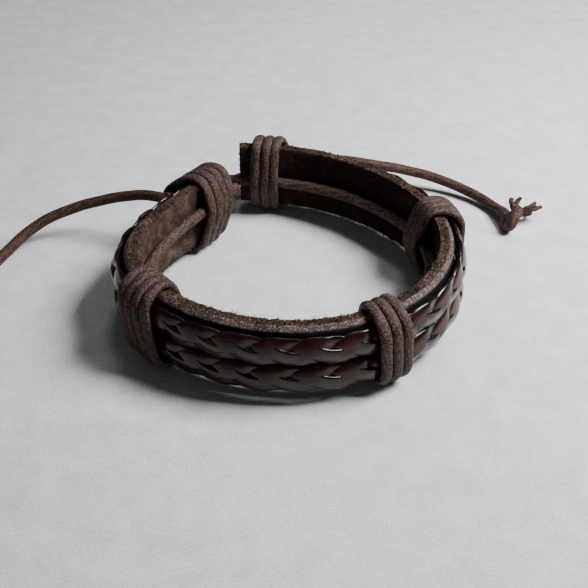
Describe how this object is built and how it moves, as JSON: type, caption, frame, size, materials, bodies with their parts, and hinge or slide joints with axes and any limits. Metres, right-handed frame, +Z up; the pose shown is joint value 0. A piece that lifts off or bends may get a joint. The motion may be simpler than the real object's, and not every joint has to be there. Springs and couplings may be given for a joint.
{
  "type": "bracelet",
  "caption": "Adjustable leather bracelet with flat braids on its outer face, cord wraps, and sliding drawcord tails that end in knots.",
  "frame": {"origin": "on the table plane, under the middle of the ring's bounding box", "axes": "+Z up and along the ring's short height; -Y towards the front of the strap; +Y towards the gap between the strap's ends; +X towards the right side wrap"},
  "size_m": [0.1054, 0.0685, 0.0156],
  "materials": {
    "leather_strap": "matte",
    "braid_lace": "gloss",
    "waxed_cord": "satin"
  },
  "bodies": {
    "right_side": {"strap_right": "leather_strap", "upper_braid_right_1": "braid_lace", "upper_braid_right_2": "braid_lace", "upper_braid_right_3": "braid_lace", "lower_braid_right_1": "braid_lace", "lower_braid_right_2": "braid_lace", "lower_braid_right_3": "braid_lace", "wrap_right_front": "waxed_cord", "wrap_right_side": "waxed_cord", "wrap_right_end": "waxed_cord", "inner_cord_right": "waxed_cord", "gap_cord_right": "waxed_cord", "tail_right": "waxed_cord"},
    "left_side": {"strap_left": "leather_strap", "upper_braid_left_1": "braid_lace", "upper_braid_left_2": "braid_lace", "upper_braid_left_3": "braid_lace", "lower_braid_left_1": "braid_lace", "lower_braid_left_2": "braid_lace", "lower_braid_left_3": "braid_lace", "wrap_left_front": "waxed_cord", "wrap_left_end": "waxed_cord", "inner_cord_left": "waxed_cord", "gap_cord_left": "waxed_cord", "tail_left": "waxed_cord"},
    "right_tail_end": {"knot_right": "waxed_cord", "fray_right": "waxed_cord"},
    "left_tail_end": {"knot_left": "waxed_cord", "fray_left": "waxed_cord"}
  },
  "joints": [
    {"name": "strap_flex", "type": "hinge", "parent": "right_side", "child": "left_side", "pos_m": [0.0001, -0.03375, 0.0078], "axis": [0, 0, 1], "range_deg": [-4, 20], "deforming": ["gap_cord_right", "gap_cord_left"]},
    {"name": "right_tail_draw", "type": "slide", "parent": "right_side", "child": "right_tail_end", "axis": [-0.9582, 0.2861, 0], "range_m": [-0.0035, 0.0165], "deforming": ["tail_right"]},
    {"name": "left_tail_draw", "type": "slide", "parent": "left_side", "child": "left_tail_end", "axis": [0.8391, 0.544, 0], "range_m": [-0.0035, 0.0165], "deforming": ["tail_left"]}
  ],
  "couplings": [
    {"joint": "right_tail_draw", "follows": "strap_flex", "m_per_rad": 0.0459},
    {"joint": "left_tail_draw", "follows": "strap_flex", "m_per_rad": 0.0459}
  ]
}
